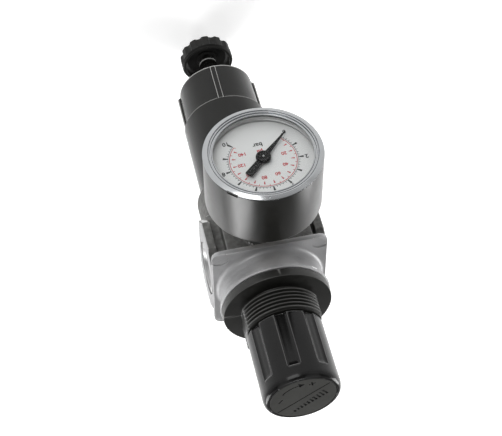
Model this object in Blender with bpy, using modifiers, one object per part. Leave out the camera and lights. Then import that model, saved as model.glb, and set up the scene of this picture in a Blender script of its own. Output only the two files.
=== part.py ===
"""Mini filter regulator for compressed air, with a round pressure gauge.

Frame: the origin is where the port axis (X) crosses the main axis (Z). +Z points to the adjusting
knob, the bowl hangs below, the gauge faces -Y, and air flows from the -X port to the +X port.
Sizes are in millimetres and are scaled to metres where geometry is made.
"""

import math

import bmesh
import bpy
from mathutils import Matrix, Vector

MM = 0.001
GAP = 0.3  # clearance between neighbouring pieces

# Body
BODY_WIDTH = 42.0
BODY_CORNER_R = 3.0
DECK_BOTTOM, DECK_TOP = 8.9, 10.8
COLLAR_R, COLLAR_TOP = 20.3, 20.0
WAIST_R, WAIST_BLEND = 18.9, 2.2
CORNER_PAD_R, CORNER_PAD_AT, CORNER_PAD_DEPTH = 3.5, 18.4, 0.2
PAD_FRONT, PAD_LEFT, PAD_RIGHT = 17.6, -16.8, 14.7
SIDE_BOSS_X = 18.2
PORT_FACE_X = 21.4
PORT_HOLE_R = 5.9
PORT_HOLE_END = 9.5
SPOTFACE_R, SPOTFACE_DEPTH = 9.9, 0.3
BODY_BOTTOM = -13.7
SKIRT_R, SKIRT_BOTTOM = 18.9, -30.0
SOCKET_R, SOCKET_TOP = 16.8, -17.0
CHAMBER_R, CHAMBER_TOP = 12.5, -9.5
VALVE_BORE_R = 5.5
CYLINDER_R, CYLINDER_FLOOR = 14.0, 8.1
SPIGOT_POCKET_R, SPIGOT_POCKET_FLOOR = 17.3, 15.6
GAUGE_BOSS_R, GAUGE_HOLE_R = 8.5, 5.1

# Bonnet
FLANGE_R = 20.0
FLANGE_BOTTOM, FLANGE_TOP = 20.3, 23.3
THREAD_R, THREAD_DEPTH, THREAD_PITCH = 15.0, 0.9, 1.5
THREAD_BOTTOM, THREAD_TURNS = 24.8, 6
THREAD_FLAT_X = 13.4
BONNET_BORE_R = 10.2
NECK_R, NECK_TOP = 11.5, 51.0
BONNET_CEILING = 48.3

# Knob and spindle
KNOB_R = 13.85
KNOB_BOTTOM, KNOB_TOP = 34.1, 61.1
KNOB_SHOULDER = 2.2
KNOB_CAVITY_R, KNOB_CAVITY_TOP = 11.9, 53.0
FLUTES, FLUTE_R, FLUTE_DEPTH, FLUTE_TOP = 8, 4.4, 0.8, 54.5
FLUTE_PHASE = math.radians(8.7)  # of the first flute, from -Y towards +X
SPINDLE_R = 4.0
SPINDLE_PITCH = 1.25

# Bowl and drain
BOWL_R = 16.5
BOWL_TOP, BOWL_STEP, BOWL_BOTTOM = -19.2, -68.2, -87.0
BOWL_LOWER_R, BOWL_END_R = 15.2, 14.9
BOWL_INNER_R, BOWL_FLOOR = 14.3, -82.0
BOWL_RIBS, RIB_R, RIB_WIDTH, RIB_END = 4, 16.0, 2.2, -85.7
RIB_PHASE = math.radians(4.5)  # of the front rib, from -Y towards +X
NECK_END, NECK_R_END = -102.8, 3.6
DRAIN_BORE_R = 2.5
DRAIN_KNOB_R, DRAIN_LOBES = 10.6, 12
DRAIN_TOP, DRAIN_BOTTOM = -102.7, -108.9

# Gauge, as distances from the main axis towards the viewer
CASE_BACK, CASE_FRONT, CASE_R = 35.7, 58.6, 20.4
CASE_BORE_R, CASE_RIM_R, LENS_LEDGE = 18.2, 19.6, 57.85
RING_FRONT, RING_BACK, RING_R, RING_OPENING_R = 59.7, 58.9, 20.5, 17.3
LENS_R, LENS_BACK, LENS_FRONT = 18.8, 57.95, 58.75
POINTER_TIP, POINTER_TAIL = 13.9, 9.3
DIAL_FRONT, DIAL_R = 55.2, 17.9
SCALE_START = math.radians(-135.0)  # pointer at zero, clockwise from +Z as seen from the front
SECTOR_PIVOT = 6.5
SECTOR_R, PINION_R = 5.0, 1.2


def clear_scene():
    for obj in list(bpy.data.objects):
        bpy.data.objects.remove(obj, do_unlink=True)


def new_collection(name):
    collection = bpy.data.collections.new(name)
    bpy.context.scene.collection.children.link(collection)
    return collection


def new_material(name, color, roughness, metallic=0.0, transmission=0.0):
    material = bpy.data.materials.new(name)
    material.use_nodes = True
    shader = material.node_tree.nodes["Principled BSDF"]
    shader.inputs["Base Color"].default_value = (*color, 1.0)
    shader.inputs["Roughness"].default_value = roughness
    shader.inputs["Metallic"].default_value = metallic
    shader.inputs["Transmission Weight"].default_value = transmission
    return material


def add_object(name, data, material=None):
    """An object in the parts collection, or a hidden helper where no material is given."""
    obj = bpy.data.objects.new(name, data)
    if material is None:
        CUTTERS.objects.link(obj)
        obj.hide_render = True
        obj.display_type = "WIRE"
    else:
        PARTS.objects.link(obj)
        data.materials.append(material)
    return obj


def turned(name, profile, material=None, steps=48, face_forward=False):
    """A profile of (radius, height) points turned about Z; it is closed unless it starts on the axis."""
    mesh = bpy.data.meshes.new(name)
    edges = [(i, i + 1) for i in range(len(profile) - 1)]
    if profile[0][0] > 0:
        edges.append((len(profile) - 1, 0))
    mesh.from_pydata([(r * MM, 0.0, z * MM) for r, z in profile], edges, [])
    obj = add_object(name, mesh, material)
    screw = obj.modifiers.new("turn", "SCREW")
    screw.axis = "Z"
    screw.steps = steps
    screw.render_steps = steps
    screw.use_merge_vertices = True
    screw.merge_threshold = 1e-6
    screw.use_smooth_shade = True
    if face_forward:
        obj.rotation_euler = (math.radians(90), 0, 0)
    return obj


def block(name, low, high, material=None, corner_r=0.0):
    """A box between two corners, with its four edges along Z rounded."""
    mesh = bpy.data.meshes.new(name)
    shape = bmesh.new()
    low, high = Vector(low), Vector(high)
    size = high - low
    place = Matrix.Translation((low + high) / 2 * MM) @ Matrix.Diagonal((*(size * MM), 1.0))
    bmesh.ops.create_cube(shape, size=1.0, matrix=place)
    if corner_r:
        upright = [e for e in shape.edges if abs(e.verts[0].co.z - e.verts[1].co.z) > 1e-5]
        bmesh.ops.bevel(shape, geom=upright, offset=corner_r * MM, segments=3, profile=0.5, affect="EDGES")
    shape.to_mesh(mesh)
    shape.free()
    return add_object(name, mesh, material)


def rod(name, radius, start, end, material=None, steps=32):
    """A cylinder or prism between two points."""
    mesh = bpy.data.meshes.new(name)
    shape = bmesh.new()
    start, end = Vector(start) * MM, Vector(end) * MM
    aim = (end - start).to_track_quat("Z", "Y").to_matrix().to_4x4()
    place = Matrix.Translation((start + end) / 2) @ aim
    bmesh.ops.create_cone(shape, cap_ends=True, segments=steps, radius1=radius * MM, radius2=radius * MM,
                          depth=(end - start).length, matrix=place)
    shape.to_mesh(mesh)
    shape.free()
    return add_object(name, mesh, material)


def boolean(obj, other, operation="DIFFERENCE"):
    modifier = obj.modifiers.new(other.name, "BOOLEAN")
    modifier.operation = operation
    modifier.solver = "EXACT"
    modifier.object = other
    return obj


def cut(obj, *cutters):
    for cutter in cutters:
        boolean(obj, cutter)


def join(obj, *others):
    for other in others:
        boolean(obj, other, "UNION")


def tube_along(name, points, radius, material):
    """A round wire through the points, with closed ends."""
    curve = bpy.data.curves.new(name, "CURVE")
    curve.dimensions = "3D"
    curve.bevel_depth = radius * MM
    curve.bevel_resolution = 2
    curve.use_fill_caps = True
    spline = curve.splines.new("POLY")
    spline.points.add(len(points) - 1)
    for place, point in zip(spline.points, points):
        place.co = (*(Vector(point) * MM), 1.0)
    return add_object(name, curve, material)


def coil(name, mean_r, wire_r, bottom, top, turns, per_turn, material):
    """A compression spring between two heights, which are those of its outer faces."""
    count = round(turns * per_turn)
    low, high = bottom + wire_r, top - wire_r
    points = []
    for i in range(count + 1):
        angle = math.tau * i / per_turn
        points.append((mean_r * math.cos(angle), mean_r * math.sin(angle), low + (high - low) * i / count))
    return tube_along(name, points, wire_r, material)


def arc(center_r, center_z, radius, start_deg, end_deg, count=4):
    """Profile points on a circle, by angle from +r towards +z."""
    angles = [math.radians(start_deg + (end_deg - start_deg) * i / count) for i in range(count + 1)]
    return [(center_r + radius * math.cos(a), center_z + radius * math.sin(a)) for a in angles]


def thread(crest_r, depth, bottom, pitch, turns):
    """Profile points down a threaded length, as parallel grooves."""
    points = []
    for i in reversed(range(turns)):
        low = bottom + i * pitch
        points += [(crest_r - depth, low + 0.95 * pitch), (crest_r, low + 0.45 * pitch)]
    return points


def flat_plate(name, outlines, low, high, material):
    """A plate lying across the gauge axis, from outlines of (x, y) points; inner ones are holes."""
    curve = bpy.data.curves.new(name, "CURVE")
    curve.dimensions = "2D"
    curve.fill_mode = "BOTH"
    curve.extrude = (high - low) / 2 * MM
    for outline in outlines:
        spline = curve.splines.new("POLY")
        spline.points.add(len(outline) - 1)
        spline.use_cyclic_u = True
        for place, (x, y) in zip(spline.points, outline):
            place.co = (x * MM, y * MM, 0.0, 1.0)
    obj = add_object(name, curve, material)
    obj.location = (0, -(low + high) / 2 * MM, 0)
    obj.rotation_euler = (math.radians(90), 0, 0)
    return obj


def circle_points(radius, count, start=0.0, end=math.tau, center=(0.0, 0.0)):
    steps = count if abs(end - start - math.tau) < 1e-9 else count - 1
    angles = [start + (end - start) * i / steps for i in range(count)]
    return [(center[0] + radius * math.cos(a), center[1] + radius * math.sin(a)) for a in angles]


def meshed(obj):
    """The same object with its curve made a mesh, so that it can be joined or cut."""
    bpy.context.view_layer.update()
    evaluated = obj.evaluated_get(bpy.context.evaluated_depsgraph_get())
    mesh = bpy.data.meshes.new_from_object(evaluated)
    shape = bmesh.new()
    shape.from_mesh(mesh)
    bmesh.ops.remove_doubles(shape, verts=shape.verts, dist=1e-7)
    shape.to_mesh(mesh)
    shape.free()
    name, material, place = obj.name, obj.data.materials[0], obj.matrix_world.copy()
    bpy.data.objects.remove(obj, do_unlink=True)
    mesh.materials.clear()
    solid = add_object(name, mesh, material)
    solid.matrix_world = place
    return solid


# ---------------------------------------------------------------- body and what is fixed in it


def body_shoulder():
    """The waisted collar on the thin square deck, with a shallow round pad sunk into each corner."""
    blend = arc(WAIST_R + WAIST_BLEND, DECK_TOP + WAIST_BLEND, WAIST_BLEND, 180, 270)
    profile = [(0, COLLAR_TOP), (COLLAR_R, COLLAR_TOP), (COLLAR_R, 18.8), (19.5, 16.6), (19.0, 14.6)]
    profile += [*blend, (30, DECK_TOP), (30, DECK_BOTTOM), (0, DECK_BOTTOM)]
    shoulder = turned("shoulder_form", profile, steps=40)
    half = BODY_WIDTH / 2
    outline = block("outline_form", (-half, -half, 0), (half, half, COLLAR_TOP + 5), None, BODY_CORNER_R)
    boolean(shoulder, outline, "INTERSECT")
    for index, (sx, sy) in enumerate(((-1, -1), (1, -1), (1, 1), (-1, 1))):
        x, y = sx * CORNER_PAD_AT, sy * CORNER_PAD_AT
        pad = rod(f"corner_pad_cut_{index}", CORNER_PAD_R, (x, y, DECK_TOP - CORNER_PAD_DEPTH), (x, y, 13), steps=24)
        cut(shoulder, pad)
    return shoulder


def side_boss(name, inner_x, outer_x):
    """An eight-sided boss round a port, as a prism along X."""
    outline = [(17.6, 4.3), (13.0, 9.2), (-13.0, 9.2), (-17.6, 4.3), (-17.6, -7.3), (-11.2, BODY_BOTTOM)]
    outline += [(11.2, BODY_BOTTOM), (17.6, -7.3)]
    shape = bmesh.new()
    rings = []
    for x in (inner_x, outer_x):
        rings.append([shape.verts.new((x * MM, y * MM, z * MM)) for y, z in outline])
    for ring in rings:
        shape.faces.new(ring)
    for i in range(len(outline)):
        j = (i + 1) % len(outline)
        shape.faces.new((rings[0][i], rings[0][j], rings[1][j], rings[1][i]))
    bmesh.ops.recalc_face_normals(shape, faces=shape.faces)
    mesh = bpy.data.meshes.new(name)
    shape.to_mesh(mesh)
    shape.free()
    return add_object(name, mesh)


def make_body():
    half = BODY_WIDTH / 2
    body = block("body", (-18.6, -13.8, -13.4), (18.6, 13.8, 9.4), CAST_METAL)
    join(
        body,
        body_shoulder(),
        side_boss("side_boss_form_left", -PORT_FACE_X, -SIDE_BOSS_X),
        side_boss("side_boss_form_right", SIDE_BOSS_X, PORT_FACE_X),
        block("front_pad_form", (PAD_LEFT, -PAD_FRONT, -12.5), (PAD_RIGHT, -13, 9.4)),
        block("rear_pad_form", (-14.7, 13, -12.5), (14.7, PAD_FRONT, 9.4)),
        rod("gauge_boss_form", GAUGE_BOSS_R, (0, -half, 0), (0, half, 0), steps=24),
        rod("skirt_form", SKIRT_R, (0, 0, SKIRT_BOTTOM), (0, 0, -11), steps=40),
    )
    cut(
        body,
        rod("socket_cut", SOCKET_R, (0, 0, SKIRT_BOTTOM - 2), (0, 0, SOCKET_TOP), steps=40),
        rod("chamber_cut", CHAMBER_R, (0, 0, SOCKET_TOP - 1), (0, 0, CHAMBER_TOP), steps=24),
        rod("valve_bore_cut", VALVE_BORE_R, (0, 0, CHAMBER_TOP - 1), (0, 0, 5), steps=20),
        rod("seat_pocket_cut", 7.3, (0, 0, 3.5), (0, 0, CYLINDER_FLOOR + 1), steps=20),
        rod("cylinder_cut", CYLINDER_R, (0, 0, CYLINDER_FLOOR), (0, 0, COLLAR_TOP + 1), steps=40),
        rod("spigot_pocket_cut", SPIGOT_POCKET_R, (0, 0, SPIGOT_POCKET_FLOOR), (0, 0, COLLAR_TOP + 2), steps=40),
        rod("inlet_passage_cut", 3.0, (-12.5, 0, SOCKET_TOP - 1.5), (-12.5, 0, 0.4), steps=10),
        rod("outlet_passage_cut", 2.4, (11.2, 0, 0.4), (11.2, 0, CYLINDER_FLOOR + 1), steps=10),
    )
    for side, name in ((-1, "inlet"), (1, "outlet")):
        outside, face = side * (PORT_FACE_X + 2), side * (PORT_FACE_X - SPOTFACE_DEPTH)
        cut(
            body,
            rod(f"{name}_cut", PORT_HOLE_R, (side * PORT_HOLE_END, 0, 0), (outside, 0, 0), steps=20),
            rod(f"{name}_spotface_cut", SPOTFACE_R, (face, 0, 0), (outside, 0, 0), steps=28),
        )
    for side, name in ((-1, "front"), (1, "rear")):
        cut(
            body,
            rod(f"{name}_gauge_hole_cut", GAUGE_HOLE_R, (0, side * 9, 0), (0, side * (half + 2), 0), steps=16),
            rod(f"{name}_gauge_passage_cut", 1.2, (0, side * 10.6, 0.4), (0, side * 10.6, CYLINDER_FLOOR + 1), steps=8),
        )


def make_valve_seat():
    top, bottom = 7.8, 3.5 + GAP
    turned("valve_seat", [(3.2, top), (7.0, top), (7.0, bottom), (4.3, bottom), (4.0, 3.6), (3.2, 3.6)], BRASS, 24)


def make_valve_guide():
    """The tube that guides the valve and carries the filter on its lower end."""
    profile = [(3.5, -5), (5.2, -5), (5.2, -9.8), (9.0, -9.8), (9.0, -12.6), (4.8, -12.6), (4.8, -48)]
    guide = turned("valve_guide", profile + [(2.2, -48), (2.2, -10), (3.5, -10)], PLASTIC_NATURAL, 20)
    cut(guide, rod("guide_window_cut", 1.6, (-8, 0, -30), (8, 0, -30), steps=10))


def make_swirl_deflector():
    profile = [(5.4, -13.1), (12.1, -13.1), (12.1, -18.2), (10.7, -18.2), (10.7, -14.3), (5.4, -14.3)]
    ring = turned("swirl_deflector", profile, PLASTIC_NATURAL, 24)
    for index in range(6):
        slot = block(f"swirl_slot_cut_{index}", (-0.9, 0, -1.6), (0.9, 6, 3))
        spin = Matrix.Rotation(math.tau * index / 6, 4, "Z")
        slot.matrix_world = spin @ Matrix.Translation((0, 8 * MM, -17 * MM)) @ Matrix.Rotation(math.radians(28), 4, "Y")
        cut(ring, slot)


def make_filter():
    turned("filter_element", [(5.4, -14.6), (9.2, -14.6), (9.2, -45), (5.4, -45)], FILTER_MEDIA, 28)
    profile = [(5.1, -45.3), (6.8, -45.3), (6.8, -46.8), (10.6, -46.8), (12.6, -49.2), (12.6, -50.4)]
    profile = [(0, -48.6), (5.1, -48.6), *profile, (11.6, -50.4), (10.2, -48.4), (6.6, -48.4), (6.6, -50.6), (0, -50.6)]
    turned("baffle_plate", profile, PLASTIC_NATURAL, 24)


# ---------------------------------------------------------------- bonnet, spindle, spring and knob


def make_bonnet():
    thread_top = THREAD_BOTTOM + THREAD_TURNS * THREAD_PITCH
    profile = [(4.6, NECK_TOP), (NECK_R - 0.6, NECK_TOP), (NECK_R, NECK_TOP - 0.6), (NECK_R, thread_top)]
    profile += thread(THREAD_R, THREAD_DEPTH, THREAD_BOTTOM, THREAD_PITCH, THREAD_TURNS)
    profile += [(13.2, THREAD_BOTTOM), (13.2, FLANGE_TOP), (FLANGE_R - 0.2, FLANGE_TOP), (FLANGE_R, FLANGE_TOP - 0.2)]
    profile += [(FLANGE_R, FLANGE_BOTTOM), (17.0, FLANGE_BOTTOM), (17.0, SPIGOT_POCKET_FLOOR + GAP)]
    profile += [(BONNET_BORE_R, SPIGOT_POCKET_FLOOR + GAP), (BONNET_BORE_R, BONNET_CEILING), (4.6, BONNET_CEILING)]
    bonnet = turned("bonnet", profile, BLACK_PLASTIC, 36)
    for side in (-1, 1):
        near, far = sorted((side * THREAD_FLAT_X, side * 17.0))
        cut(bonnet, block(f"thread_flat_cut_{near:.0f}", (near, -17, 24.0), (far, 17, thread_top + 0.5)))
        near, far = sorted((side * 9.4, side * (BONNET_BORE_R + 0.6)))
        join(bonnet, block(f"guide_rib_form_{near:.0f}", (near, -1.4, 30), (far, 1.4, BONNET_CEILING + 0.8)))


def make_spindle():
    rings = thread(SPINDLE_R, 0.5, 36.0, SPINDLE_PITCH, 5)
    profile = [(0, 52.5), (4.3, 52.5), (4.3, 48.0), (7.5, 48.0), (7.5, 45.6), (SPINDLE_R, 45.6), (SPINDLE_R, 43.6)]
    spindle = turned("adjusting_spindle", profile + rings + [(SPINDLE_R, 35.5), (SPINDLE_R, 25), (0, 25)], BRASS, 14)
    join(spindle, rod("spindle_hex_form", 3.5 / math.cos(math.pi / 6), (0, 0, 51), (0, 0, 57), steps=6))
    turned("spindle_ring", [(4.6, 52.3), (7.0, 52.3), (7.0, 51.3), (4.6, 51.3)], STEEL, 20)


def make_spring_nut():
    profile = [(4.3, 43.8), (9.9, 43.8), (9.9, 40.6), (6.0, 40.6), (6.0, 37.8), (4.3, 37.8)]
    nut = turned("spring_nut", profile, BRASS, 24)
    for side in (-1, 1):
        near, far = sorted((side * 9.1, side * 11.0))
        cut(nut, block(f"nut_slot_cut_{near:.0f}", (near, -1.8, 36), (far, 1.8, 45)))


def make_springs():
    coil("regulating_spring", 7.85, 1.05, 15.8, 40.3, 5.5, 9, STEEL)
    coil("valve_spring", 2.8, 0.32, -9.7, -1.8, 4, 8, STEEL)


def make_knob():
    shoulder = arc(KNOB_R - KNOB_SHOULDER, KNOB_TOP - KNOB_SHOULDER, KNOB_SHOULDER, 80, 0, 3)
    profile = [(0, KNOB_TOP - 1.1), (11.5, KNOB_TOP - 1.1), (11.5, KNOB_TOP), *shoulder, (KNOB_R, KNOB_BOTTOM)]
    profile += [(KNOB_CAVITY_R, KNOB_BOTTOM), (KNOB_CAVITY_R, KNOB_CAVITY_TOP), (0, KNOB_CAVITY_TOP)]
    knob = turned("adjusting_knob", profile, GLOSS_BLACK, 48)
    cut(knob, rod("knob_hex_cut", 3.8 / math.cos(math.pi / 6), (0, 0, 50), (0, 0, 57.6), steps=6))
    reach = KNOB_R + FLUTE_R - FLUTE_DEPTH
    for index in range(FLUTES):
        angle = FLUTE_PHASE + math.tau * index / FLUTES
        x, y = reach * math.sin(angle), -reach * math.cos(angle)
        cut(knob, rod(f"flute_cut_{index}", FLUTE_R, (x, y, KNOB_BOTTOM - 2), (x, y, FLUTE_TOP), steps=20))
    disc = [(0, KNOB_TOP), (11.2, KNOB_TOP), (11.2, KNOB_TOP - 0.8), (0, KNOB_TOP - 0.8)]
    turned("knob_end_disc", disc, SATIN_BLACK, 40)


# ---------------------------------------------------------------- piston and valve


def make_piston():
    profile = [(0.8, 17.6), (5.9, 17.6), (5.9, 15.5), (13.7, 15.5), (13.7, 14.0), (11.4, 14.0)]
    profile += [(11.4, 12.0), (13.7, 12.0), (13.7, 10.5), (2.6, 10.5), (2.6, 12.2), (0.8, 12.2)]
    turned("piston", profile, PLASTIC_NATURAL, 28)
    turned("piston_seal", [(11.7, 13.7), (13.85, 13.7), (13.85, 12.3), (11.7, 12.3)], RUBBER, 28)
    turned("relief_seat", [(0.6, 11.9), (2.3, 11.9), (2.3, 10.5), (0.6, 10.5)], RUBBER, 12)


def make_valve_poppet():
    profile = [(0, 10.2), (0.95, 10.2), (0.95, 2.4), (4.8, 2.4), (4.8, -1.5), (1.8, -1.5), (1.8, -8.8), (0, -8.8)]
    turned("valve_poppet", profile, BRASS, 16)
    turned("valve_seal", [(1.25, 3.3), (4.8, 3.3), (4.8, 2.7), (1.25, 2.7)], RUBBER, 16)


# ---------------------------------------------------------------- bowl and drain


def make_bowl():
    outer = [(BOWL_R - 0.4, BOWL_TOP), (BOWL_R - 0.4, -31), (BOWL_R, -33), (BOWL_R, BOWL_STEP)]
    outer += [(BOWL_LOWER_R, BOWL_STEP - 0.3), (BOWL_END_R, BOWL_BOTTOM), (10.2, BOWL_BOTTOM - 0.3)]
    outer += [(7.6, -89.0), (5.6, -91.5), (4.3, -94.5), (3.7, -98.5), (NECK_R_END, NECK_END)]
    inner = [(DRAIN_BORE_R, NECK_END), (DRAIN_BORE_R, -85), (5.0, -84), (11.5, BOWL_FLOOR), (13.0, -78)]
    inner += [(BOWL_INNER_R, -60), (BOWL_INNER_R, BOWL_TOP)]
    bowl = turned("bowl", outer + inner, BLACK_PLASTIC, 36)
    for index in range(BOWL_RIBS):
        low, high = (-RIB_WIDTH / 2, -RIB_R, RIB_END), (RIB_WIDTH / 2, 1.0 - BOWL_END_R, BOWL_STEP + 0.6)
        rib = block(f"rib_form_{index}", low, high)
        rib.rotation_euler = (0, 0, RIB_PHASE + math.tau * index / BOWL_RIBS)
        join(bowl, rib)
    turned("bowl_seal", [(14.7, -17.4), (16.3, -17.4), (16.3, -18.9), (14.7, -18.9)], RUBBER, 28)


def make_drain():
    profile = [(0, -81.9), (3.0, -81.9), (3.8, -83.2), (2.1, -83.2), (2.1, -105.8), (0, -105.8)]
    stem = turned("drain_stem", profile, MATTE_BLACK, 14)
    cut(
        stem,
        rod("drain_cross_cut", 0.8, (-4, 0, -87), (4, 0, -87), steps=8),
        rod("drain_passage_cut", 1.0, (0, 0, -110), (0, 0, -86.5), steps=8),
    )
    turned("drain_seal", [(2.4, -83.5), (3.6, -83.5), (3.6, -84.0), (2.4, -84.0)], RUBBER, 16)


def make_drain_knob():
    profile = [(1.2, -106.1), (8.4, -106.1), (9.1, -105.4), (9.1, DRAIN_TOP), (DRAIN_KNOB_R, DRAIN_TOP)]
    profile += [(DRAIN_KNOB_R, DRAIN_BOTTOM + 0.9), (DRAIN_KNOB_R - 0.9, DRAIN_BOTTOM), (1.2, DRAIN_BOTTOM)]
    knob = turned("drain_knob", profile, MATTE_BLACK, 48)
    notch_r = 1.5
    for index in range(DRAIN_LOBES):
        angle = math.tau * (index + 0.5) / DRAIN_LOBES
        reach = DRAIN_KNOB_R + notch_r - 0.75
        x, y = reach * math.sin(angle), -reach * math.cos(angle)
        notch = rod(f"lobe_cut_{index}", notch_r, (x, y, DRAIN_BOTTOM - 1), (x, y, DRAIN_TOP + 1), steps=10)
        cut(knob, notch)


# ---------------------------------------------------------------- gauge


def make_gauge_case():
    profile = [(CASE_BORE_R, LENS_LEDGE), (CASE_RIM_R, LENS_LEDGE), (CASE_RIM_R, CASE_FRONT), (CASE_R, CASE_FRONT)]
    profile += [(CASE_R, CASE_BACK + 0.8), (CASE_R - 0.8, CASE_BACK), (6.0, CASE_BACK), (6.0, CASE_BACK + 1.5)]
    turned("gauge_case", profile + [(CASE_BORE_R, CASE_BACK + 1.5)], SATIN_BLACK, 36, face_forward=True)


def make_gauge_front():
    """Snap-in ring with a short skirt inside the case's rim, the lens under it, and the dial."""
    ring = [(RING_OPENING_R, RING_FRONT - 0.1), (18.9, RING_FRONT), (19.6, RING_FRONT), (20.3, RING_FRONT - 0.3)]
    ring += [(RING_R, RING_FRONT - 0.5), (RING_R, RING_BACK), (CASE_RIM_R - 0.15, RING_BACK)]
    ring += [(CASE_RIM_R - 0.15, RING_BACK - 0.9), (LENS_R + 0.2, RING_BACK - 0.9), (LENS_R + 0.2, RING_BACK)]
    turned("gauge_ring", ring + [(RING_OPENING_R, RING_BACK)], CHROME, 36, face_forward=True)
    lens = [(0, LENS_FRONT), (LENS_R, LENS_FRONT), (LENS_R, LENS_BACK), (0, LENS_BACK)]
    turned("gauge_lens", lens, CLEAR, 36, face_forward=True)
    dial = [(1.0, DIAL_FRONT), (DIAL_R, DIAL_FRONT), (DIAL_R, DIAL_FRONT - 0.5), (1.0, DIAL_FRONT - 0.5)]
    turned("gauge_dial", dial, DIAL_WHITE, 36, face_forward=True)


def make_pointer():
    """Pointer with a slim tip and a broad tail, drawn pointing to +Y of its outline and turned to zero."""
    outline = [(0.2, POINTER_TIP), (1.0, 2.0), (1.1, 0.0), (1.1, -3.0), (1.4, -POINTER_TAIL)]
    outline += [(-x, y) for x, y in reversed(outline)]
    turn = -SCALE_START
    turned_outline = []
    for x, y in outline:
        turned_outline.append((x * math.cos(turn) - y * math.sin(turn), x * math.sin(turn) + y * math.cos(turn)))
    pointer = meshed(flat_plate("gauge_pointer", [turned_outline], 56.5, 56.9, SATIN_BLACK))
    join(pointer, rod("pointer_hub_form", 2.6, (0, -56.3, 0), (0, -57.7, 0), steps=16))
    shaft = [(0, 56.0), (0.6, 56.0), (0.6, 45.7), (PINION_R, 45.7), (PINION_R, 44.3), (0.6, 44.3), (0.6, 43.6), (0, 43.6)]
    turned("pointer_arbor", shaft, BRASS, 10, face_forward=True)


def make_movement():
    plate = turned("movement_plate", [(0.95, 48), (9.0, 48), (9.0, 47), (0.95, 47)], BRASS, 24, face_forward=True)
    join(plate, rod("sector_pin_form", 0.6, (0, -47.5, -SECTOR_PIVOT), (0, -43.6, -SECTOR_PIVOT), steps=8))
    for side, name in ((-1, "left"), (1, "right")):
        post = rod(f"{name}_post_form", 1.0, (side * 7.2, -41.4, 0), (side * 7.2, -54.4, 0), steps=8)
        join(plate, post)
    first, last = math.radians(90 - 69), math.radians(90 + 6)
    teeth = circle_points(SECTOR_R, 14, first, last)
    hub = circle_points(1.7, 10, last + 0.2, first + math.tau - 0.2)
    hole = circle_points(0.95, 12)
    sector = flat_plate("sector_gear", [teeth + hub, hole], 44.5, 45.5, BRASS)
    sector.location.z = -SECTOR_PIVOT * MM
    angles = [math.radians(-60 + 290 * i / 20) for i in range(21)]
    points = [(14.2 * math.cos(a), -50.5, 14.2 * math.sin(a)) for a in angles]
    tube_along("bourdon_tube", points, 1.2, BRASS)


def make_gauge_socket():
    profile = [(0, 41.1), (5.6, 41.1), (5.6, 34), (6.2, 34), (6.2, 22.6), (4.8, 22.6), (4.8, 11.2), (4.2, 10.6), (0, 10.6)]
    socket = turned("gauge_socket", profile, BRASS, 20, face_forward=True)
    hex_r = 7.0 / math.cos(math.pi / 6)
    join(socket, rod("socket_hex_form", hex_r, (0, -24.4, 0), (0, -35.4, 0), steps=6))
    cut(socket, rod("pressure_channel_cut", 1.0, (0, -8, 0), (0, -36, 0), steps=8))
    turned("gauge_seal", [(5.2, 22.3), (7.4, 22.3), (7.4, 21.3), (5.2, 21.3)], FIBRE, 24, face_forward=True)


def make_rear_plug():
    profile = [(0, -10.6), (4.2, -10.6), (4.8, -11.2), (4.8, -22.2), (7.2, -22.2), (7.2, -24.6), (6.7, -25.1), (0, -25.1)]
    plug = turned("rear_plug", profile, STEEL, 20, face_forward=True)
    cut(plug, rod("plug_hex_cut", 2.5 / math.cos(math.pi / 6), (0, 21, 0), (0, 26, 0), steps=6))
    turned("plug_seal", [(5.2, -21.3), (6.8, -21.3), (6.8, -21.9), (5.2, -21.9)], RUBBER, 24, face_forward=True)


clear_scene()
PARTS = new_collection("filter_regulator")
CUTTERS = new_collection("cutters")
CAST_METAL = new_material("cast_metal", (0.62, 0.62, 0.63), 0.42, 0.9)
BLACK_PLASTIC = new_material("black_plastic", (0.022, 0.022, 0.021), 0.45)
GLOSS_BLACK = new_material("gloss_black", (0.015, 0.015, 0.015), 0.22)
SATIN_BLACK = new_material("satin_black", (0.035, 0.035, 0.033), 0.4)
MATTE_BLACK = new_material("matte_black", (0.03, 0.03, 0.028), 0.6)
PLASTIC_NATURAL = new_material("natural_plastic", (0.75, 0.74, 0.7), 0.5)
FILTER_MEDIA = new_material("filter_media", (0.85, 0.84, 0.8), 0.9)
BRASS = new_material("brass", (0.72, 0.55, 0.25), 0.3, 1.0)
STEEL = new_material("steel", (0.56, 0.57, 0.58), 0.3, 1.0)
CHROME = new_material("chrome", (0.75, 0.76, 0.78), 0.08, 1.0)
RUBBER = new_material("rubber", (0.02, 0.02, 0.02), 0.75)
FIBRE = new_material("fibre", (0.45, 0.2, 0.12), 0.8)
CLEAR = new_material("clear", (1.0, 1.0, 1.0), 0.03, 0.0, 1.0)
DIAL_WHITE = new_material("dial_white", (0.75, 0.75, 0.74), 0.5)

make_body()
make_valve_seat()
make_valve_guide()
make_swirl_deflector()
make_filter()
make_bonnet()
make_spindle()
make_spring_nut()
make_springs()
make_knob()
make_piston()
make_valve_poppet()
make_bowl()
make_drain()
make_drain_knob()
make_gauge_case()
make_gauge_front()
make_pointer()
make_movement()
make_gauge_socket()
make_rear_plug()
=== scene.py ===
import math

import bmesh
import bpy
from mathutils import Matrix, Vector


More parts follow.
